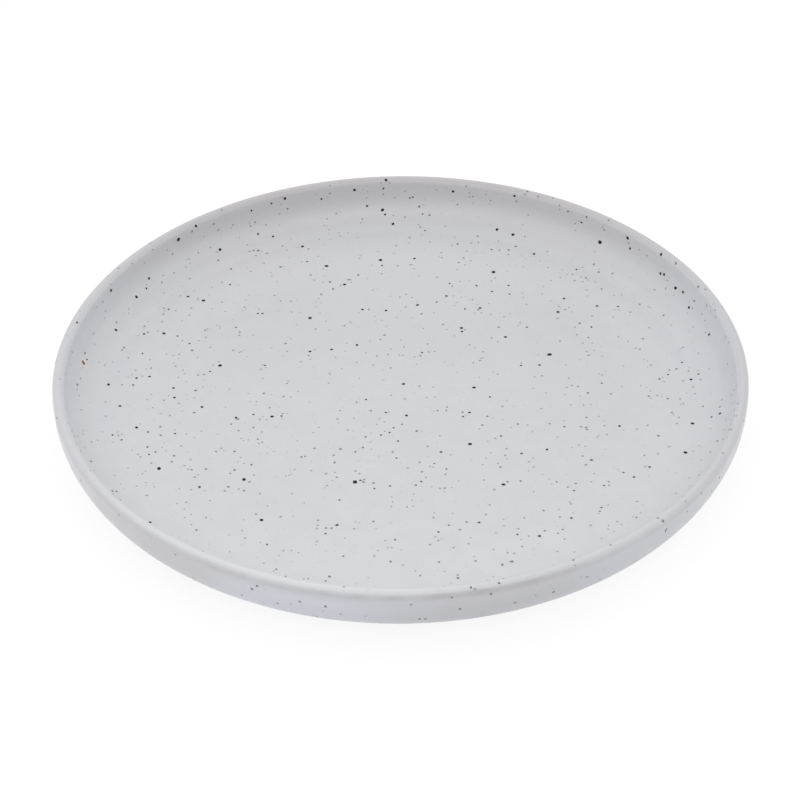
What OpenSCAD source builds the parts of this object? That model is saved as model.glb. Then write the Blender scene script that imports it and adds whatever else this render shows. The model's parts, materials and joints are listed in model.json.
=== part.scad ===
// Speckled stoneware dinner plate with a flat well and a low upright wall, in millimetres.
// The origin is the centre of the foot ring's resting plane, with +Z up through the well.

/* [Plate] */
// Diameter over the outside of the wall, glaze included
plate_d = 270; // [200:1:320]
// Height from the table to the top of the lip
plate_h = 27; // [25:0.5:40]
// Thickness of the wall and of its round lip, glaze included
wall_t = 4.5; // [3.5:0.1:6]
// Thickness of the floor of the well, glaze included
floor_t = 5; // [4:0.1:7]
// Radius where the outside of the wall turns under the plate
outer_round = 19; // [14:0.5:21]
// Radius of the hollow curve between the wall and the floor of the well
well_round = 14; // [11:0.5:17]

/* [Foot ring] */
// Distance from the outside of the wall in to the outside of the foot ring
foot_inset = 42; // [30:1:60]
// Width of the foot ring
foot_w = 7; // [5:0.5:12]
// Height of the foot ring below the glazed underside
foot_h = 2.5; // [2:0.1:4]
// Radius on the two lower edges of the foot ring
foot_round = 1; // [0.4:0.1:1.4]
// Radius of the small cove where the foot ring grows out of the underside
foot_cove = 1.2; // [0.6:0.1:1.4]

/* [Glaze] */
// Thickness of the glaze coat
glaze_t = 0.5; // [0.3:0.05:0.8]
// Bare clay left between the foot ring's cove and the edge of the glaze
glaze_margin = 0.8; // [0.4:0.1:2]

/* [Hidden] */
$fn = 160;

// Outside and inside faces of the wall
plate_r = plate_d / 2;
well_r = plate_r - wall_t;
// Floor of the well
floor_z = foot_h + floor_t;
// Round lip
lip_r = wall_t / 2;
lip_x = plate_r - lip_r;
lip_z = plate_h - lip_r;
// Centre of the outer round and of the hollow curve in the well
outer_x = plate_r - outer_round;
outer_z = foot_h + outer_round;
hollow_x = well_r - well_round;
hollow_z = floor_z + well_round;
// Foot ring and the two edges of the glaze that stop short of it
foot_ro = plate_r - foot_inset;
foot_ri = foot_ro - foot_w;
clay_base_z = foot_h + glaze_t;
face_edge_r = foot_ro + foot_cove + glaze_margin;
base_edge_r = foot_ri - foot_cove - glaze_margin;

// Rectangle between two corners of the half section
module block(x0, z0, x1, z1) {
    translate([x0, z0]) square([x1 - x0, z1 - z0]);
}

// Quarter of a disc about a centre, to the right of it and below it
module lower_quarter(x, z, r) {
    intersection() {
        translate([x, z]) circle(r);
        block(x, z - 2 * r, x + 2 * r, z);
    }
}

// Half section of the solid outside form, drawn in from the glazed surface by inset
module outside_form(inset) {
    block(0, outer_z, plate_r - inset, lip_z);
    block(0, foot_h + inset, outer_x, outer_z);
    lower_quarter(outer_x, outer_z, outer_round - inset);
}

// Half section of the space inside the well, grown into the wall and floor by inset
module well_form(inset) {
    block(0, hollow_z, well_r + inset, plate_h);
    block(0, floor_z - inset, hollow_x, hollow_z);
    lower_quarter(hollow_x, hollow_z, well_round + inset);
}

// Half section of the round lip, a half disc on top of the wall
module lip_form(inset) {
    intersection() {
        translate([lip_x, lip_z]) circle(lip_r - inset);
        block(lip_x - wall_t, lip_z, lip_x + wall_t, plate_h);
    }
}

// Half section of the dish without its foot, inset 0 at the glaze and glaze_t at the clay
module dish_section(inset) {
    difference() {
        outside_form(inset);
        well_form(inset);
    }
    lip_form(inset);
}

// Small cove in the corner between the underside and the outer side of a ring of radius x
module cove(x) {
    difference() {
        block(x, clay_base_z - foot_cove, x + foot_cove, clay_base_z);
        translate([x + foot_cove, clay_base_z - foot_cove]) circle(foot_cove);
    }
}

// Half section of the bare foot ring with rounded lower edges
module foot_section() {
    block(foot_ri, foot_round, foot_ro, clay_base_z);
    block(foot_ri + foot_round, 0, foot_ro - foot_round, foot_round);
    lower_quarter(foot_ro - foot_round, foot_round, foot_round);
    mirror([1, 0]) lower_quarter(-foot_ri - foot_round, foot_round, foot_round);
    cove(foot_ro);
    mirror([1, 0]) cove(-foot_ri);
}

// Half section of the glaze over the well, the lip and the outside, down to its edge by the foot
module face_section() {
    difference() {
        dish_section(0);
        dish_section(glaze_t);
        block(0, 0, face_edge_r + glaze_t, clay_base_z);
    }
    mirror([1, 0]) lower_quarter(-face_edge_r - glaze_t, clay_base_z, glaze_t);
}

// Half section of the glaze on the underside, inside the foot ring
module base_section() {
    block(0, foot_h, base_edge_r - glaze_t, clay_base_z);
    lower_quarter(base_edge_r - glaze_t, clay_base_z, glaze_t);
}

// Fired clay: the dish under its glaze and the bare foot ring that it stands on
module stoneware_body() {
    color("tan") rotate_extrude() {
        dish_section(glaze_t);
        foot_section();
    }
}

// White speckled glaze that shows in use
module face_glaze() {
    color("gainsboro") rotate_extrude() face_section();
}

// Disc of the same glaze inside the foot ring
module base_glaze() {
    color("gainsboro") rotate_extrude() base_section();
}

stoneware_body();
face_glaze();
base_glaze();
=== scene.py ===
# %% [markdown]
# This lesson dresses a speckled stoneware dinner plate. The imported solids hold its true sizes: a clay
# dish with a foot ring, and two coats of glaze that stop short of the bare ring. They are loaded as a
# fixed frame. Every piece made here is measured from that frame, in metres, so nothing is fitted later.

# %% Load the frame
import json
import math
import random
import bmesh
import bpy
from collections import namedtuple
from mathutils import Matrix, Vector
from mathutils.bvhtree import BVHTree


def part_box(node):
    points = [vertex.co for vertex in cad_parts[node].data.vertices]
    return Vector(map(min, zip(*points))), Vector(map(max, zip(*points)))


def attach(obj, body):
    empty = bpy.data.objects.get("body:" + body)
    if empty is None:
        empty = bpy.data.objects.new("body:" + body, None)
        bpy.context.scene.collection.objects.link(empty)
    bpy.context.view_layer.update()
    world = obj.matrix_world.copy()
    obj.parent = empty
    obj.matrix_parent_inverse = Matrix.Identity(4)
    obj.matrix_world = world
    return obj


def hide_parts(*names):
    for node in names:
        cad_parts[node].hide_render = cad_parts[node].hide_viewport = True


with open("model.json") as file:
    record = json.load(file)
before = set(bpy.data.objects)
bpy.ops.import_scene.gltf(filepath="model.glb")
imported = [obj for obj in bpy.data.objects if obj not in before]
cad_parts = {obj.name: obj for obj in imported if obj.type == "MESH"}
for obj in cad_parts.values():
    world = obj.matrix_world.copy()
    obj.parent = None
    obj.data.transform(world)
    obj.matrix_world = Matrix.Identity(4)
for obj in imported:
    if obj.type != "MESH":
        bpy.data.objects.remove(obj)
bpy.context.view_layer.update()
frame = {"nodes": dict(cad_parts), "record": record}

# %% [markdown]
# A turned plate is fully described by half of its section. The outer radius, the height, the glaze and
# the level of the well come from the frame. The rounds and the wall can't be read off a box, so they are
# written down once more here, with the values that the solids have.

# %% Sizes of the half section
MM = 0.001
coat_low, coat_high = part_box("face_glaze")
disc_low, disc_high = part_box("base_glaze")
mounts = {mount["name"]: Vector(mount["pos_m"]) for mount in frame["record"]["mounts"]}

plate_r = coat_high.x
lip_top = coat_high.z
underside = coat_low.z
glaze_t = disc_high.z - disc_low.z
disc_r = disc_high.x
well_floor = mounts["well_floor"].z

wall_t = 4.5 * MM
outer_round = 19 * MM
well_round = 14 * MM
coat_edge_r = 95 * MM

well_r = plate_r - wall_t
lip_r = wall_t / 2
lip_centre = (plate_r - lip_r, lip_top - lip_r)
outer_centre = (plate_r - outer_round, underside + outer_round)
hollow_centre = (well_r - well_round, well_floor + well_round)
print(f"plate {2 * plate_r / MM:.1f} mm across and {lip_top / MM:.1f} mm high")

# %% [markdown]
# The camera comes early, because some specks are placed by the pixel where the photograph shows them.
# A plate seen at an angle is an ellipse, and its long and short axes give the height of the eye: about 37
# degrees. How much the near wall looks larger than the far one gives the distance, 0.85 m, and the size in
# the picture then gives the lens. The horizon leans by half a degree, which is a roll about the line of
# sight.

# %% Camera
IMAGE_PX = 800
EYE_DISTANCE = 0.85
EYE_ELEVATION = math.radians(36.72)
EYE_ROLL = math.radians(-0.51)
FOCAL_PX = 2178.5
SENSOR_MM = 36
AIM = Vector((-0.24, -9.8, 13.9)) * MM

lens = bpy.data.cameras.new("camera")
lens.sensor_width = SENSOR_MM
lens.lens = FOCAL_PX / IMAGE_PX * SENSOR_MM
camera = bpy.data.objects.new("camera", lens)
outward = Vector((0, -math.cos(EYE_ELEVATION), math.sin(EYE_ELEVATION)))
eye = Vector((0, 0, lip_top)) + outward * EYE_DISTANCE
looking = (AIM - eye).to_track_quat("-Z", "Y").to_matrix() @ Matrix.Rotation(EYE_ROLL, 3, "Z")
camera.matrix_world = Matrix.Translation(eye) @ looking.to_4x4()
bpy.context.scene.collection.objects.link(camera)
bpy.context.scene.camera = camera
print(f"camera at {list(eye)} with a {lens.lens:.1f} mm lens")

# %% [markdown]
# The half sections are drawn with a pen. A spin about a centre drags the pen's tip along an arc, and a
# spin by no angle with a step drags it along a straight line, so one operator draws both. While the pen
# follows the side of the coat that shows, it marks its points, and the mark is copied to every point that
# later comes from them.

# %% A pen for half sections
class Pen:
    """Draws a chain of edges in the X-Z plane, one straight or round stretch after another."""

    def __init__(self, x, z):
        self.mesh = bmesh.new()
        self.shows = self.mesh.verts.layers.int.new("shows")
        self.tip = self.mesh.verts.new((x, 0, z))
        self.tip[self.shows] = 1

    def sweep(self, **motion):
        swept = bmesh.ops.spin(self.mesh, geom=[self.tip], axis=(0, -1, 0), **motion)
        self.tip = swept["geom_last"][0]
        return self

    def line(self, x, z, steps):
        """A straight stretch to a point."""
        step = (Vector((x, 0, z)) - self.tip.co) / steps
        return self.sweep(angle=0, dvec=step, steps=steps)

    def arc(self, centre, degrees, steps):
        """A round stretch about a centre, anticlockwise with X to the right and Z up."""
        x, z = centre
        return self.sweep(cent=(x, 0, z), angle=math.radians(degrees), steps=steps)

    def hide(self):
        """From here on the pen follows the side that lies on the clay."""
        self.tip[self.shows] = 0
        return self


# %% [markdown]
# The glaze over the face is one closed coat half a millimetre thick. It could be a shell with a Solidify
# modifier, but its edge under the plate is a rounded bead, so the whole section is drawn: along the well,
# up the hollow and the wall, over the lip, down the outside to the bead, and back along the clay.

# %% Section of the face coat
coat = Pen(0, well_floor)
coat.line(hollow_centre[0], well_floor, steps=12)
coat.arc(hollow_centre, 90, steps=24)
coat.line(well_r, lip_centre[1], steps=3)
coat.arc(lip_centre, -180, steps=48)
coat.line(plate_r, outer_centre[1], steps=3)
coat.arc(outer_centre, -90, steps=24)
coat.line(coat_edge_r + glaze_t, underside, steps=5)
coat.arc((coat_edge_r + glaze_t, underside + glaze_t), -90, steps=5)
coat.hide()
coat.line(outer_centre[0], underside + glaze_t, steps=3)
coat.arc(outer_centre, 90, steps=12)
coat.line(plate_r - glaze_t, lip_centre[1], steps=1)
coat.arc(lip_centre, 180, steps=12)
coat.line(well_r + glaze_t, hollow_centre[1], steps=1)
coat.arc(hollow_centre, -90, steps=12)
coat.line(0, well_floor - glaze_t, steps=6)
print("face coat section:", len(coat.mesh.edges), "edges")

# %% [markdown]
# The coat inside the foot ring is a thin disc with the same rounded edge.

# %% Section of the base coat
disc = Pen(0, underside)
disc.line(disc_r - glaze_t, underside, steps=9)
disc.arc((disc_r - glaze_t, underside + glaze_t), 90, steps=5)
disc.hide()
disc.line(0, underside + glaze_t, steps=5)
print("base coat section:", len(disc.mesh.edges), "edges")

# %% [markdown]
# Spinning a section about the upright axis turns it as a potter's wheel does. The points on the axis land
# on each other and are merged, and only then are the normals recalculated, because a spin can leave a
# shape inside out. Merging leaves the edges and faces in a different order in each run, so they are put
# in the order of their points.

# %% Turn the sections
SPIN_STEPS = 240
MERGE_DISTANCE = 0.001 * MM
MORE_THAN_POINTS = 100_000


def rank(element):
    """A number that orders edges or faces by their lowest points, the same in each run."""
    number = 0
    for index in sorted(vert.index for vert in element.verts)[:3]:
        number = number * MORE_THAN_POINTS + index
    return number


def turn(pen):
    """Spins a half section into a closed, smooth solid."""
    mesh = pen.mesh
    drawn = mesh.verts[:] + mesh.edges[:]
    bmesh.ops.spin(
        mesh,
        geom=drawn,
        axis=(0, 0, 1),
        angle=2 * math.pi,
        steps=SPIN_STEPS,
        use_merge=True,
    )
    bmesh.ops.remove_doubles(mesh, verts=mesh.verts, dist=MERGE_DISTANCE)
    bmesh.ops.recalc_face_normals(mesh, faces=mesh.faces)
    mesh.verts.index_update()
    mesh.edges.sort(key=rank)
    mesh.faces.sort(key=rank)
    for face in mesh.faces:
        face.smooth = True
    return mesh


coat_mesh = turn(coat)
disc_mesh = turn(disc)
print("face coat:", len(coat_mesh.faces), "faces; base coat:", len(disc_mesh.faces), "faces")

# %% [markdown]
# The specks are iron that bled through the glaze. A texture could dot the surface, but a dot of half a
# millimetre is hardly larger than a texel of a plate-sized picture, so each speck is a small solid sunk
# into the glaze, with its own colour. The large ones lie where the photograph shows them: a pixel gives
# a line of sight, and the speck sits where that line meets the coat.

# %% Large specks, as pixel column, pixel row and diameter in millimetres
BACK_WALL = [
    (386, 180, 1.0), (383.5, 188.5, 0.8), (354.5, 190, 1.1), (453, 191.5, 1.0), (514.5, 196, 1.0),
    (285, 198.5, 1.1), (321.5, 199, 0.8), (271.5, 203.5, 0.8), (367, 206, 0.8), (251.5, 210.5, 0.8),
    (581.5, 222.5, 0.8), (196, 226, 1.0), (627.5, 238, 1.3), (178.5, 239.5, 1.5), (630, 248.5, 1.0),
    (661, 254.5, 1.0), (664, 274.5, 1.1), (111, 290.5, 1.3), (77, 322.5, 0.8), (734.5, 410, 0.8),
]
BACK_OF_WELL = [
    (382.5, 210, 1.2), (385, 214.5, 0.8), (393, 224, 1.1), (497, 229.5, 1.1), (258, 234, 0.8),
    (513, 234.5, 1.2), (273, 236.5, 0.8), (600, 242, 1.6), (457.5, 244, 0.8), (302.5, 246.5, 1.2),
    (220, 249.5, 1.2), (491.5, 249.5, 0.8), (508.5, 250, 0.8), (534, 254, 1.1), (414.5, 258.5, 1.0),
    (380.5, 260, 1.4), (307, 261.5, 0.8), (382, 265.5, 0.8), (326.5, 266, 1.4), (280.5, 267, 0.8),
    (231, 269, 0.8), (576.5, 269.5, 0.8), (493.5, 272, 1.5), (660.5, 273.5, 1.1), (149, 278.5, 1.0),
    (330, 282, 0.8), (230, 284.5, 0.8), (344.5, 284.5, 1.2), (508.5, 285.5, 0.8), (476.5, 285.5, 0.8),
    (675.5, 288, 1.3), (146.5, 288.5, 0.8), (492, 291.5, 0.8), (683, 292, 1.1), (446.5, 296, 1.0),
    (188, 296.5, 1.0), (136.5, 297, 1.2), (564, 298.5, 1.0), (203.5, 300.5, 1.3), (417.5, 305, 1.1),
    (597, 306, 1.0), (618, 306.5, 0.8), (689, 307.5, 1.1), (480, 308, 1.1), (465, 309, 0.8),
    (362.5, 309.5, 1.0), (386, 310.5, 1.0), (558, 312, 1.2), (258, 313.5, 0.8), (262.5, 313.5, 0.8),
    (310, 318, 1.4), (591.5, 327, 0.8), (461.5, 328, 1.2), (116, 330, 1.1),
]
MIDDLE_OF_WELL = [
    (462, 331.5, 1.0), (164, 333.5, 1.3), (144, 334, 1.0), (709, 334.5, 1.1), (177.5, 336, 0.8),
    (505.5, 337, 1.2), (189.5, 343.5, 0.8), (357, 345, 1.1), (331.5, 349.5, 1.1), (310, 351.5, 1.1),
    (422, 352.5, 0.8), (142.5, 353.5, 0.8), (549.5, 354.5, 1.7), (87, 359.5, 0.8), (682, 362.5, 0.8),
    (539.5, 365, 1.0), (220, 365.5, 1.5), (521, 365.5, 0.8), (265, 365.5, 0.8), (210, 371.5, 0.8),
    (698.5, 374, 0.8), (668, 374.5, 0.8), (149.5, 376.5, 1.0), (136.5, 378, 1.0), (659.5, 379, 0.8),
    (691, 379.5, 1.1), (403.5, 384, 1.2), (108.5, 384.5, 1.2), (474, 387.5, 1.3), (173.5, 388, 1.0),
    (195.5, 390.5, 0.8), (588, 393, 0.8), (490, 397, 0.8), (174.5, 397.5, 1.0), (366, 399.5, 0.8),
    (120, 406, 1.1), (202, 407, 1.1), (469.5, 412.5, 1.0), (386, 412.5, 0.8), (720, 413.5, 1.1),
    (253.5, 414.5, 0.8), (406.5, 415.5, 1.1), (281.5, 416, 0.8), (463, 416.5, 0.8), (272, 416.5, 1.3),
    (711.5, 417, 0.8), (236, 417.5, 1.0), (692.5, 423.5, 1.3), (619.5, 426, 1.0), (136.5, 427.5, 1.2),
    (148, 432, 0.8), (389.5, 432.5, 0.8), (175, 433.5, 0.8), (112.5, 435, 0.8), (381, 435, 0.8),
    (501, 436, 0.8), (398, 441, 0.8), (470, 444, 1.4), (147.5, 447, 0.8), (547, 449.5, 1.0),
]
FRONT_OF_WELL = [
    (234.5, 451.5, 0.8), (441, 452, 1.1), (155.5, 452, 0.8), (685.5, 452.5, 1.4), (521.5, 453.5, 1.0),
    (149, 454.5, 0.8), (301.5, 457, 0.8), (396.5, 458, 0.8), (591.5, 460, 1.1), (649.5, 467, 1.0),
    (159, 468.5, 1.5), (206, 469, 0.8), (234.5, 470, 0.8), (623.5, 472.5, 0.8), (634, 477, 1.0),
    (244, 479.5, 1.4), (520.5, 481, 0.8), (355, 482, 1.7), (363.5, 482, 0.8), (373.5, 483, 0.8),
    (503.5, 484.5, 1.3), (604, 485.5, 0.8), (390, 486, 0.8), (199.5, 487, 1.1), (374.5, 488.5, 0.8),
    (574, 490.5, 0.8), (112.5, 491, 0.8), (339.5, 500, 0.8), (601.5, 507.5, 0.8), (571.5, 518, 1.0),
    (261.5, 520, 1.3), (149.5, 522.5, 1.4), (479, 522.5, 1.0), (337, 525, 1.2), (438.5, 532, 0.8),
    (325.5, 533.5, 0.8), (517.5, 534.5, 0.8), (539.5, 536, 1.2), (267, 544.5, 0.8),
]
FRONT_LIP = [
    (512, 561.5, 1.1), (329.5, 576.5, 1.0), (458, 578, 1.0), (499, 583, 0.8), (471, 587.5, 0.8),
]
OUTER_WALL = [
    (587, 577, 0.8), (257, 586, 1.0), (252, 589, 1.1), (553.5, 592, 1.1), (491, 594, 1.0),
    (452, 597.5, 0.8), (277.5, 603.5, 0.8), (325.5, 606.5, 1.0), (460, 609, 1.0), (419.5, 619, 1.1),
    (425.5, 619, 1.1), (663, 521, 1.0),
]
for seen in (BACK_WALL, BACK_OF_WELL, MIDDLE_OF_WELL, FRONT_OF_WELL, FRONT_LIP, OUTER_WALL):
    print(len(seen), "large specks, the first at pixel", seen[0][:2])

# %% [markdown]
# A speck is a low, blunt cone sunk into the glaze, with its flat top just proud of it, and stretched a
# little at random so that no two are alike. It has few faces, because there are well over a thousand
# specks. An operator takes longer on a mesh that already holds a lot, so they are made by the hundred in
# a small mesh, which then joins the rest. A dark dot that is hardly larger than a pixel is partly
# averaged away in the picture, so each large one is a little wider than it looks.

# %% How a speck is made
SPECK_DEPTH = 0.12 * MM
SPECK_PROUD = 0.03 * MM
SPECK_STRETCH = 0.14
FOOT_WIDER, TOP_NARROWER = 1.15, 0.95
LOOKS_SMALLER = 1.1
LARGE_SPECK = 0.85 * MM
LARGE_SIDES, SMALL_SIDES = 14, 8
HANDFUL = 100
CHARCOAL = (0.006, 0.005, 0.006)
DROWNED = (0.42, 0.42, 0.43)

Speck = namedtuple("Speck", "spot normal width colour stretch lean")
chance = random.Random(27)


def chance_speck(spot, normal, width, colour):
    """A speck with a stretch and a lean of its own."""
    stretch = 1 + chance.uniform(0, SPECK_STRETCH)
    lean = chance.uniform(0, math.pi)
    return Speck(spot, normal, width, colour, stretch, lean)


def mix(low, high, share):
    """A colour part of the way from one to another."""
    return tuple(a + (b - a) * share for a, b in zip(low, high))


def sink_one(mesh, speck, colours):
    """Sinks one blunt cone into the glaze."""
    seat = Matrix.Translation(speck.spot + speck.normal * (SPECK_PROUD - SPECK_DEPTH / 2))
    standing = speck.normal.to_track_quat("Z", "Y").to_matrix().to_4x4()
    facing = standing @ Matrix.Rotation(speck.lean, 4, "Z")
    drawn = Matrix.Diagonal((speck.stretch, 1 / speck.stretch, 1, 1))
    made = bmesh.ops.create_cone(
        mesh,
        cap_ends=True,
        segments=LARGE_SIDES if speck.width > LARGE_SPECK else SMALL_SIDES,
        radius1=speck.width / 2 * FOOT_WIDER,
        radius2=speck.width / 2 * TOP_NARROWER,
        depth=SPECK_DEPTH,
        matrix=seat @ facing @ drawn,
    )
    for vert in made["verts"]:
        vert[colours] = (*speck.colour, 1)


def sink(specks):
    """One mesh of many specks."""
    whole = bmesh.new()
    handful = bpy.data.meshes.new("handful")
    for first in range(0, len(specks), HANDFUL):
        batch = bmesh.new()
        colours = batch.verts.layers.float_color.new("speck_colour")
        for speck in specks[first:first + HANDFUL]:
            sink_one(batch, speck, colours)
        batch.to_mesh(handful)
        batch.free()
        whole.from_mesh(handful)
    bpy.data.meshes.remove(handful)
    return whole


# %% [markdown]
# A line of sight is the camera's own direction through a pixel, so the same camera that renders the plate
# also places its specks. Those at the back are further off, so they are wider than they look. Toward the
# front and on the outside the smaller ones lie deeper in the glaze, so they are paler.

# %% Place the large specks
DARK_FROM = 1.25  # millimetres, as in the lists
coat_tree = BVHTree.FromBMesh(coat_mesh)


def sight_line(column, row):
    """Direction from the eye through a pixel of the photograph."""
    across = Vector((column - IMAGE_PX / 2, IMAGE_PX / 2 - row, -FOCAL_PX))
    return (camera.matrix_world.to_3x3() @ across).normalized()


def seat_at(column, row):
    """Where a line of sight meets the face coat, and the normal there."""
    return coat_tree.ray_cast(eye, sight_line(column, row))[:2]


def seen_specks(seen, wider, paler):
    """The specks of one list, each on the glaze behind its pixel; only small ones are paler."""
    placed = []
    for column, row, diameter in seen:
        width = diameter * LOOKS_SMALLER * wider * MM
        colour = mix(CHARCOAL, DROWNED, paler if diameter < DARK_FROM else 0)
        placed.append(chance_speck(*seat_at(column, row), width, colour))
    return placed


specks = []
specks += seen_specks(BACK_WALL, wider=1.08, paler=0)
specks += seen_specks(BACK_OF_WELL, wider=1.08, paler=0)
specks += seen_specks(MIDDLE_OF_WELL, wider=1, paler=0)
specks += seen_specks(FRONT_OF_WELL, wider=1, paler=0.22)
specks += seen_specks(FRONT_LIP, wider=1, paler=0.5)
specks += seen_specks(OUTER_WALL, wider=1, paler=0.68)
print(len(specks), "large specks placed")

# %% [markdown]
# One long speck on the right of the outside and one rusty fleck on the left, in the well, have a look of
# their own. The fleck is a grain of iron that melted. It stands a little higher than the others, because
# the hollow curves up around it. The pale warm stain about it is a tone of the glaze and comes later.

# %% Long speck and rusty fleck
RUST = (0.23, 0.18, 0.15)
LONG_SPECK_PIXEL = (666, 530)
LONG_SPECK_PALER = 0.4
FLECK_PIXEL = (83.4, 362.7)
long_spot, long_normal = seat_at(*LONG_SPECK_PIXEL)
fleck_spot, fleck_normal = seat_at(*FLECK_PIXEL)
long_speck = Speck(
    spot=long_spot,
    normal=long_normal,
    width=1.2 * MM,
    colour=mix(CHARCOAL, DROWNED, LONG_SPECK_PALER),
    stretch=1.5,
    lean=math.radians(60),
)
rusty_fleck = Speck(
    spot=fleck_spot + fleck_normal * SPECK_PROUD,
    normal=fleck_normal,
    width=2.0 * MM,
    colour=RUST,
    stretch=1.15,
    lean=math.radians(80),
)
specks += [long_speck, rusty_fleck]
print("long speck at", list(long_spot), "and rusty fleck at", list(fleck_spot))

# %% [markdown]
# The small specks are strewn by chance with a fixed seed. Faces that show are drawn by their area, and
# each size, in millimetres, has its own count per square centimetre, fitted to the well of the real
# plate: the smaller, the more there are, and the deeper they lie drowned in the glaze. On the outside and
# underneath they are fewer and deeper, as the real wall shows. Large ones are strewn only where the
# camera can't see, as the others have places. A point on a face is measured from the corner with the
# lowest number, so that the same lots always give the same point.

# %% Kinds of small specks, and where they may lie
Kind = namedtuple("Kind", "diameter per_cm2 least_drowned most_drowned")
SMALL_SPECKS = [
    Kind(0.95, 0.2, 0.3, 0.6),
    Kind(0.9, 0.3, 0.5, 0.8),
    Kind(0.85, 0.6, 0.75, 0.95),
    Kind(0.7, 0.7, 0.85, 1.05),
]
LARGE_SPECKS = [Kind(1.5, 0.02, 0, 0), Kind(1.2, 0.08, 0, 0.1), Kind(1.0, 0.26, 0, 0.2)]
SIZE_SPREAD = 0.15
FEWER_OUTSIDE, OUTSIDE_DEEPER = 0.3, 0.5
CM2 = 0.0001


def showing_faces(mesh):
    """Faces of a coat on the side that shows."""
    shows = mesh.verts.layers.int["shows"]
    return [face for face in mesh.faces if all(vert[shows] for vert in face.verts)]


def turned_out(face):
    """Whether a face lies on the outside of the wall or on the underside."""
    middle = face.calc_center_median()
    return middle.xy.length > lip_centre[0] or face.normal.z < 0


def point_on(face):
    """A random point of a face with three or four corners."""
    numbers = [vert.index for vert in face.verts]
    first = numbers.index(min(numbers))
    corners = [vert.co for vert in face.verts]
    corners = corners[first:] + corners[:first]
    along, across = chance.random(), chance.random()
    near = corners[0].lerp(corners[1], along)
    far = corners[-1].lerp(corners[2], along)
    return near.lerp(far, across)


def in_sight(speck):
    """Whether the camera sees the place of a speck."""
    start = speck.spot + speck.normal * SPECK_PROUD
    return coat_tree.ray_cast(start, eye - start)[0] is None


# %% [markdown]
# Each kind is strewn in turn, over the face coat and then over the disc under the plate. Then all the
# specks, the large ones too, are sunk into the glaze as one mesh.

# %% Strew the small specks
def strewn_specks(mesh, kinds):
    """Specks of some kinds scattered over one coat."""
    faces = showing_faces(mesh)
    areas = [face.calc_area() * (FEWER_OUTSIDE if turned_out(face) else 1) for face in faces]
    strewn = []
    for kind in kinds:
        count = round(kind.per_cm2 * sum(areas) / CM2)
        for face in chance.choices(faces, weights=areas, k=count):
            width = kind.diameter * MM * (1 + chance.uniform(-SIZE_SPREAD, SIZE_SPREAD))
            drowned = chance.uniform(kind.least_drowned, kind.most_drowned)
            if turned_out(face):
                drowned += (1 - drowned) * OUTSIDE_DEEPER
            colour = mix(CHARCOAL, DROWNED, drowned)
            strewn.append(chance_speck(point_on(face), face.normal.copy(), width, colour))
    return strewn


for coated in (coat_mesh, disc_mesh):
    specks += strewn_specks(coated, SMALL_SPECKS)
    specks += [speck for speck in strewn_specks(coated, LARGE_SPECKS) if not in_sight(speck)]
speck_mesh = sink(specks)
print(len(specks), "specks with", len(speck_mesh.faces), "faces")

# %% [markdown]
# Each finished mesh becomes an object at the origin, with its place in its points. The coats stand for
# the plain coats of the frame. The clay node stays as it is, because its shape is right.

# %% Make the pieces
def make_piece(name, mesh):
    """A piece of the plate from a finished mesh."""
    data = bpy.data.meshes.new(name)
    mesh.to_mesh(data)
    mesh.free()
    piece = bpy.data.objects.new(name, data)
    bpy.context.scene.collection.objects.link(piece)
    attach(piece, "root")
    print(name, len(data.polygons), "faces")
    return piece


face_coat = make_piece("face_glaze_coat", coat_mesh)
base_coat = make_piece("base_glaze_coat", disc_mesh)
iron_specks = make_piece("iron_specks", speck_mesh)
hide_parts("face_glaze")
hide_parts("base_glaze")
clay = frame["nodes"]["stoneware_body"]

# %% [markdown]
# Finishes are written as arithmetic. This class wraps one socket of a node: adding or multiplying two of
# them adds a Math node, and its method "node" adds any other node to the same tree.

# %% Shader arithmetic
class Shade:
    """A socket that takes part in arithmetic."""

    def __init__(self, tree, socket=None):
        self.tree = tree
        self.socket = socket

    def node(self, kind, settings=None, sockets=None, output=0):
        """Adds a node: its settings are set first, then its sockets get values or links."""
        node = self.tree.nodes.new(kind)
        for name, value in (settings or {}).items():
            setattr(node, name, value)
        for name, value in (sockets or {}).items():
            if isinstance(value, Shade):
                self.tree.links.new(value.socket, node.inputs[name])
            else:
                node.inputs[name].default_value = value
        return Shade(self.tree, node.outputs[output])

    def math(self, operation, first, second=0.0):
        """Arithmetic on two numbers."""
        return self.node("ShaderNodeMath", {"operation": operation}, {0: first, 1: second})

    def vector_math(self, operation, other=(0, 0, 0), output="Value"):
        """Arithmetic with another vector, or with none where the operation needs only one."""
        return self.node("ShaderNodeVectorMath", {"operation": operation}, {0: self, 1: other}, output)

    def __add__(self, other):
        return self.math("ADD", self, other)

    def __sub__(self, other):
        return self.math("SUBTRACT", self, other)

    def __rsub__(self, other):
        return self.math("SUBTRACT", other, self)

    def __mul__(self, other):
        return self.math("MULTIPLY", self, other)

    __radd__ = __add__
    __rmul__ = __mul__


# %% [markdown]
# A few nodes come back again and again: a smooth ramp, a mix of two colours, soft noise, a bump and one
# coordinate of a place. Each has a function here, and two more make a material and fill its shader. The
# Mix node has sockets of one name for each kind of value, so those for colours are found by number.

# %% Nodes that come back
MIX_SHARE, MIX_LOW, MIX_HIGH, MIX_RESULT = 0, 6, 7, 2


def ramp(shade, low, high):
    """0 at one value and beyond it, 1 at another and beyond that, with a smooth change between."""
    return shade.node(
        "ShaderNodeMapRange",
        {"interpolation_type": "SMOOTHSTEP"},
        {"Value": shade, "From Min": low, "From Max": high},
    )


def tint(share, low, high):
    """A colour that goes from one to another."""
    ends = {MIX_SHARE: share, MIX_LOW: low, MIX_HIGH: high}
    for slot, colour in ends.items():
        if isinstance(colour, tuple):
            ends[slot] = (*colour, 1)
    return share.node("ShaderNodeMix", {"data_type": "RGBA"}, ends, output=MIX_RESULT)


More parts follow.
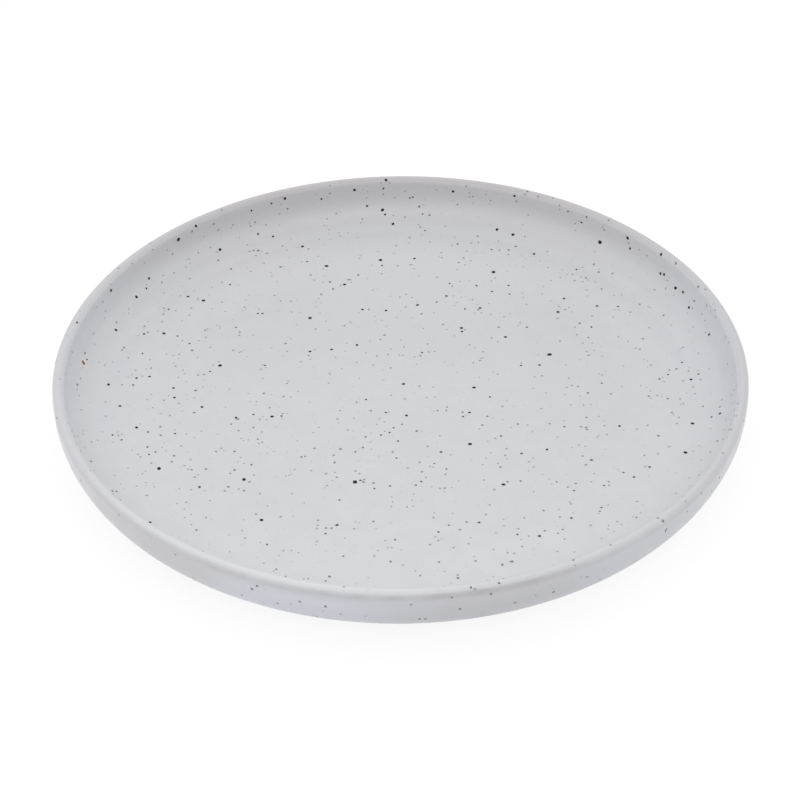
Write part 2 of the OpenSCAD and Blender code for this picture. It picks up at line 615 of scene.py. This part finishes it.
def clouds(at, size, detail=2.0):
    """Soft noise with lumps of about a given size in metres."""
    return at.node("ShaderNodeTexNoise", None, {"Vector": at, "Scale": 1 / size, "Detail": detail})


def relief(height, depth, under=None):
    """A bump of a given depth in metres."""
    sockets = {"Height": height, "Distance": depth}
    if under:
        sockets["Normal"] = under
    return height.node("ShaderNodeBump", None, sockets)


def axis_of(place, axis):
    """One coordinate of a place."""
    return place.node("ShaderNodeSeparateXYZ", None, {0: place}, output=axis)


def finish_for(name):
    """A new material with its shader and the object's own coordinates."""
    material = bpy.data.materials.new(name)
    material.use_nodes = True
    start = Shade(material.node_tree)
    place = start.node("ShaderNodeTexCoord", output="Object")
    return material, material.node_tree.nodes["Principled BSDF"], place


def feed(shader, **sockets):
    """Links or sets the shader's sockets; a name's underscores are spaces."""
    for name, value in sockets.items():
        socket = shader.inputs[name.replace("_", " ")]
        if isinstance(value, Shade):
            value.tree.links.new(value.socket, socket)
        else:
            socket.default_value = value


# %% [markdown]
# Glaze is never one even colour: it runs off edges and gathers in hollows while it melts. Here its tones,
# some of them painted light and shade, follow the parts of the plate, so the parts are told apart first,
# by height and by distance from the axis. Each is a share that is 1 on that part, 0 off it, and fades
# between.

# %% Parts of the plate
AROUND = "floor wall lip outside shoulder low"
ACROSS = "middle right_half back_half rear far_side past_front"
Parts = namedtuple("Parts", f"{AROUND} {ACROSS}")


def parts_of_plate(place):
    """How much each part of the plate has to do with a place."""
    right, back, height = (axis_of(place, axis) for axis in "XYZ")
    level = place.vector_math("MULTIPLY", (1, 1, 0), output="Vector")
    radius = level.vector_math("LENGTH")
    rim = ramp(radius, well_r - 0.3 * MM, lip_centre[0] - 1 * MM)
    upright = ramp(radius, plate_r - 1 * MM, plate_r - 0.2 * MM)
    beyond, above = radius - outer_centre[0], height - outer_centre[1]
    squared = beyond * beyond + above * above
    turning = ramp(squared, (outer_round - 3 * MM) ** 2, (outer_round - MM) ** 2)
    turning = turning * ramp(above, 0, -3 * MM) * ramp(beyond, 0, 4 * MM)
    outside = place.math("MAXIMUM", upright, turning)
    return Parts(
        floor=1 - ramp(height, well_floor + 0.5 * MM, well_floor + 6 * MM),
        wall=ramp(height, well_floor + 7 * MM, lip_top - 6 * MM) * (1 - rim),
        lip=ramp(height, lip_top - 3.5 * MM, lip_top - 0.5 * MM) * rim,
        outside=outside,
        shoulder=outside * ramp(height, lip_top - 4 * MM, lip_top - 2 * MM),
        low=outside * ramp(height, lip_top - 2.5 * MM, lip_top - 7 * MM),
        middle=ramp(radius, 0.85 * plate_r, 0.6 * plate_r),
        right_half=ramp(right, -0.1 * plate_r, 0.6 * plate_r),
        back_half=ramp(back, -plate_r, plate_r) - 0.5,
        rear=ramp(back, 0, 0.6 * plate_r),
        far_side=ramp(back, 0.2 * plate_r, 0.95 * plate_r),
        past_front=ramp(back, -0.95 * plate_r, -0.4 * plate_r),
    )


# %% [markdown]
# The glaze is a cool, pale grey white. Its tone is darker in the middle of the floor, on the right and
# toward the back, and paler on the inside of the wall: painted shade and painted light, set by how the
# light falls. It turns violet up the far side of the well, where its darker tone is partly painted shade,
# with a warmer patch on the floor there that is partly painted shade too. The outside is cool: a bluish
# patch of painted light lies low at the front left, the left end is violet, and painted shade darkens
# the outside and the lip at the front right. On the lip and just under it the tone is darker, partly where
# the glaze breaks and partly painted shade, and at the back of the lip the clay shines through. A pale
# warm stain rings the rusty fleck. The grey shadows of grains that lie deep and the finest dust finish it.
# The clouds of noise keep any of this from looking drawn.

# %% Tones of the glaze
GLAZE = (0.695, 0.702, 0.731)
# The darker tone serves the random mottling and also painted shade.
GLAZE_DEEP_AND_SHADED = (0.545, 0.552, 0.580)
GLAZE_VIOLET = (0.628, 0.616, 0.634)
GLAZE_COOL = (0.674, 0.679, 0.722)
# A warm tone that is also darker, partly painted shade on the back of the floor.
GLAZE_WARM_SHADED = (0.607, 0.614, 0.612)
# A bluish, brighter tone for painted light.
GLAZE_PAINTED_LIGHT = (0.718, 0.736, 0.798)
# A darker tone for the glaze break and for painted shade.
GLAZE_BREAK_AND_SHADE = (0.490, 0.482, 0.508)
GLAZE_THIN = (0.470, 0.441, 0.437)
GLAZE_STAIN = (0.775, 0.695, 0.655)
DRIFT_SIZE = 60 * MM

Patch = namedtuple("Patch", "pixel reach")
# Warm patch on the back of the floor, partly painted shade.
WARM_SHADED_FLOOR = Patch(pixel=(425, 250), reach=80 * MM)
VIOLET_END = Patch(pixel=(142, 539), reach=55 * MM)
# Painted light: a bluish, brighter patch low on the outside at the front left.
BLUISH_PAINTED_LIGHT = Patch(pixel=(292, 604), reach=40 * MM)
# Painted shade on the outside and on the lip at the front right.
SHADE_FRONT_RIGHT = Patch(pixel=(505, 605), reach=45 * MM)
STAIN = Patch(pixel=FLECK_PIXEL, reach=3 * MM)
PATCH_CORE = 0.3

Grains = namedtuple("Grains", "cell radius strength")
DEEP_GRAINS = Grains(cell=3.0 * MM, radius=0.6 * MM, strength=0.45)
DUST = Grains(cell=2.6 * MM, radius=0.3 * MM, strength=1.0)
GRAIN_BLUR = 0.03


def around(place, patch):
    """1 in the core of a patch, which lies on the coat behind its pixel, and 0 beyond its reach."""
    distance = place.vector_math("DISTANCE", seat_at(*patch.pixel)[0])
    return ramp(distance, patch.reach, PATCH_CORE * patch.reach)


def scattered(place, grains):
    """Round grains, one to a cell; a cell's random colour, turned grey, is its radius and strength."""
    cells = {"Vector": place, "Scale": 1 / grains.cell}
    distance = place.node("ShaderNodeTexVoronoi", None, cells)
    lot = place.node("ShaderNodeTexVoronoi", None, cells, output="Color")
    apart = ramp(distance - lot * (grains.radius / grains.cell), -GRAIN_BLUR, GRAIN_BLUR)
    return (1 - apart) * lot * grains.strength


# %% [markdown]
# The tones are laid over each other, from those of the well to the specks of dust. Each number is a
# part's share of the way to a tone.

# %% Tone at a place
def glaze_tone(place, mottle):
    """Colour of the glaze at a place."""
    part = parts_of_plate(place)
    drift = clouds(place, DRIFT_SIZE) - 0.5
    far_hollow = part.far_side * (1 - part.floor) * (1 - part.wall)
    near_wall = part.wall * (1 - part.far_side)
    left_end = part.outside * around(place, VIOLET_END)
    # Painted shade and painted light: darker on the floor, in its middle, toward the back and on the
    # right, darker on the lip at the back and right, and paler on the near walls and the far hollow.
    painted_light_and_shade = 0.18 * part.floor + part.middle * (0.13 + 0.13 * part.rear)
    painted_light_and_shade = painted_light_and_shade + part.back_half * (0.2 * part.floor + 0.4 * part.lip)
    painted_light_and_shade = painted_light_and_shade + part.right_half * (0.15 - 0.08 * part.floor + 0.25 * part.lip)
    painted_light_and_shade = painted_light_and_shade - 0.3 * far_hollow - 0.3 * near_wall
    tone = tint(0.3 + painted_light_and_shade + 0.12 * drift + 0.09 * mottle, GLAZE, GLAZE_DEEP_AND_SHADED)
    # On the far side the violet also darkens the back wall: partly a violet tint, partly painted shade.
    tone = tint(part.far_side * (0.4 + 0.5 * part.wall), tone, GLAZE_VIOLET)
    # A warm tint that also darkens the back of the floor, partly painted shade.
    tone = tint(0.5 * part.floor * around(place, WARM_SHADED_FLOOR), tone, GLAZE_WARM_SHADED)
    tone = tint(part.outside, tone, GLAZE_COOL)
    tone = tint(0.65 * left_end, tone, GLAZE_VIOLET)
    # Painted light: a bluish, brighter patch low on the outside at the front left.
    tone = tint(part.low * around(place, BLUISH_PAINTED_LIGHT), tone, GLAZE_PAINTED_LIGHT)
    # Darker on the lip at the front and in a band just under the lip: partly glaze break, partly painted
    # shade.
    under_lip = part.shoulder * (1 - 0.6 * part.past_front) * (1 - 0.5 * left_end)
    break_and_painted_shade = 0.35 * part.lip * part.past_front + under_lip * (0.16 + 0.32 * mottle)
    # Painted shade on the outside and on the lip at the front right.
    painted_shade_front_right = around(place, SHADE_FRONT_RIGHT) * (0.22 * part.outside + 0.15 * part.lip)
    tone = tint(break_and_painted_shade + painted_shade_front_right, tone, GLAZE_BREAK_AND_SHADE)
    tone = tint(0.6 * part.lip * part.far_side, tone, GLAZE_THIN)
    tone = tint(around(place, STAIN), tone, GLAZE_STAIN)
    tone = tint(scattered(place, DEEP_GRAINS), tone, DROWNED)
    return tint(scattered(place, DUST), tone, DROWNED)


# %% [markdown]
# The gloss is satin, so reflections are soft, and it varies a little with the mottling. A gentle
# orange-peel relief and longer waves from the potter's hands bend the light.

# %% Glaze
SATIN, MOTTLE_DULLER = 0.30, 0.08
MOTTLE_SIZE = 9 * MM
WAVE_SIZE, WAVE_DEPTH = 22 * MM, 0.10 * MM
PEEL_SIZE, PEEL_DEPTH = 1.6 * MM, 0.012 * MM


def glaze_finish():
    """The glaze of both coats."""
    material, shader, place = finish_for("speckled_glaze")
    mottle = ramp(clouds(place, MOTTLE_SIZE, detail=4.0), 0.3, 0.7)
    waves = relief(clouds(place, WAVE_SIZE, detail=1.0), WAVE_DEPTH)
    feed(
        shader,
        Base_Color=glaze_tone(place, mottle),
        Roughness=SATIN + MOTTLE_DULLER * mottle,
        Normal=relief(clouds(place, PEEL_SIZE, detail=1.0), PEEL_DEPTH, waves),
    )
    return material


glaze = glaze_finish()
for coat_piece in (face_coat, base_coat):
    coat_piece.data.materials.append(glaze)
print("glaze:", len(glaze.node_tree.nodes), "nodes")

# %% [markdown]
# Each speck carries its colour as an attribute, so one finish serves them all. Iron is duller than the
# glaze around it and its crust is grainy.

# %% Specks
CRUST = (0.09, 0.08, 0.075)
CRUST_SIZE, CRUST_DEPTH = 0.25 * MM, 0.01 * MM


def speck_finish():
    """The dull iron of the specks."""
    material, shader, place = finish_for("iron_speck")
    own = place.node("ShaderNodeAttribute", {"attribute_name": "speck_colour"}, output="Color")
    crust = clouds(place, CRUST_SIZE)
    feed(
        shader,
        Base_Color=tint(crust * 0.15, own, CRUST),
        Roughness=0.4 + 0.2 * crust,
        Specular_IOR_Level=0.25,
        Normal=relief(crust, CRUST_DEPTH),
    )
    return material


iron = speck_finish()
iron_specks.data.materials.append(iron)
print("iron:", len(iron.node_tree.nodes), "nodes")

# %% [markdown]
# The bare clay of the foot ring is a warm, sandy buff. Coarse grains and darker grog show in it, it is
# toasted where it meets the glaze, and it is rubbed smooth and a little grey where it stands on the table.

# %% Bare clay
CLAY = (0.53, 0.42, 0.30)
CLAY_DARK = (0.40, 0.30, 0.205)
GROG = (0.20, 0.14, 0.095)
RUBBED = (0.50, 0.42, 0.34)
SAND_SIZE, SAND_DEPTH = 0.7 * MM, 0.09 * MM
BLUSH_SIZE = 14 * MM
GROG_CELL = 1.9 * MM
TOASTED_FROM, TOASTED_TO = 1.4 * MM, 2.8 * MM
RUBBED_BELOW, RUBBED_UP_TO = 0.05 * MM, 0.5 * MM


def clay_finish():
    """The bare clay of the foot ring."""
    material, shader, place = finish_for("bare_clay")
    height = axis_of(place, "Z")
    sand = clouds(place, SAND_SIZE, detail=4.0)
    blush = ramp(clouds(place, BLUSH_SIZE, detail=3.0), 0.35, 0.65)
    toasted = ramp(height, TOASTED_FROM, TOASTED_TO)
    body = tint(blush * 0.5 + toasted * 0.4, CLAY, CLAY_DARK)
    grit = place.node("ShaderNodeTexVoronoi", None, {"Vector": place, "Scale": 1 / GROG_CELL})
    grog = 1 - ramp(grit, 0.10, 0.22)
    rubbed = 1 - ramp(height, RUBBED_BELOW, RUBBED_UP_TO)
    feed(
        shader,
        Base_Color=tint(rubbed * 0.6, tint(grog * 0.55, body, GROG), RUBBED),
        Roughness=0.86 - 0.22 * rubbed,
        Normal=relief(sand, SAND_DEPTH),
    )
    return material


bare_clay = clay_finish()
clay.data.materials.clear()
clay.data.materials.append(bare_clay)
print("bare clay:", len(bare_clay.node_tree.nodes), "nodes")

# %% [markdown]
# The plate stands on a plain white floor that fills the picture. To the camera, and in reflections, most
# of the floor's white is a glow, so that it looks white without more light on the plate, and the rest is
# lit, so that it still keeps the plate's soft shadow.

# %% Floor
FLOOR_SIZE = 3.0
FLOOR_COLOUR = (0.74, 0.74, 0.74)
FLOOR_LIT_SHARE = (0.14, 0.14, 0.14)
FLOOR_GLOW = (0.88, 0.88, 0.88)
BLACK = (0, 0, 0)

floor_mesh = bmesh.new()
bmesh.ops.create_grid(floor_mesh, x_segments=1, y_segments=1, size=FLOOR_SIZE)
floor_data = bpy.data.meshes.new("floor")
floor_mesh.to_mesh(floor_data)
floor_mesh.free()
floor = bpy.data.objects.new("floor", floor_data)
bpy.context.scene.collection.objects.link(floor)


def seen_directly(start):
    """1 for rays from the camera, a reflection or a clear surface, and 0 for rays that carry light."""
    kinds = ("Is Camera Ray", "Is Glossy Ray", "Is Transmission Ray")
    camera_ray, glossy, clear = (start.node("ShaderNodeLightPath", output=kind) for kind in kinds)
    return start.math("MAXIMUM", camera_ray, start.math("MAXIMUM", glossy, clear))


floor_paint, floor_shader, floor_place = finish_for("white_floor")
floor_seen = seen_directly(floor_place)
feed(
    floor_shader,
    Base_Color=tint(floor_seen, FLOOR_COLOUR, FLOOR_LIT_SHARE),
    Roughness=1.0,
    Specular_IOR_Level=0.0,
    Emission_Color=tint(floor_seen, BLACK, FLOOR_GLOW),
    Emission_Strength=1.0,
)
floor_data.materials.append(floor_paint)
print("floor:", len(floor_paint.node_tree.nodes), "nodes")

# %% [markdown]
# The light is that of a white tent, lit through its sides and its roof. Low down it is darker at its open
# end, in front of the plate and somewhat to the right, and a little darker at the back. Two wide softboxes
# hang over it. The one behind the plate makes the near part of the well and of the lip a little brighter,
# and the one in front lights the hollow at the back. The strengths are set so that a colour renders about
# as it is written.

# %% Light
TENT = 0.98
FRONT_DARKER, BACK_DARKER = 0.9, 0.25
OPEN_TOWARD = (0.37, -0.93, 0)
FRONT_FADE, BACK_FADE, LOW_FADE = (0.7, 0.97), (0.6, 0.9), (0.62, 0.33)
SOFTBOX_WIDTH, SOFTBOX_DEPTH = 1.46, 0.86
SOFTBOX_WATTS = 1.75
SOFTBOXES = {"softbox_behind": (-0.15, 0.72, 1.29), "softbox_in_front": (0.0, -0.9, 1.2)}

world = bpy.data.worlds.new("tent")
bpy.context.scene.world = world
world.use_nodes = True
toward = Shade(world.node_tree).node("ShaderNodeTexCoord", output="Generated")
backward, upward = (axis_of(toward, axis) for axis in "YZ")
forward = toward.vector_math("DOT_PRODUCT", OPEN_TOWARD)
ends = FRONT_DARKER * ramp(forward, *FRONT_FADE) + BACK_DARKER * ramp(backward, *BACK_FADE)
darker = ends * ramp(upward, *LOW_FADE)
feed(world.node_tree.nodes["Background"], Color=(1, 1, 1, 1), Strength=TENT * (1 - darker))

for name, place in SOFTBOXES.items():
    lamp = bpy.data.lights.new(name, "AREA")
    lamp.shape = "RECTANGLE"
    lamp.size, lamp.size_y = SOFTBOX_WIDTH, SOFTBOX_DEPTH
    lamp.energy = SOFTBOX_WATTS
    softbox = bpy.data.objects.new(name, lamp)
    softbox.location = place
    softbox.rotation_euler = (-softbox.location).to_track_quat("-Z", "Y").to_euler()
    bpy.context.scene.collection.objects.link(softbox)
    print(name, "of", SOFTBOX_WATTS, "W")

bpy.context.scene.view_settings.view_transform = "Standard"
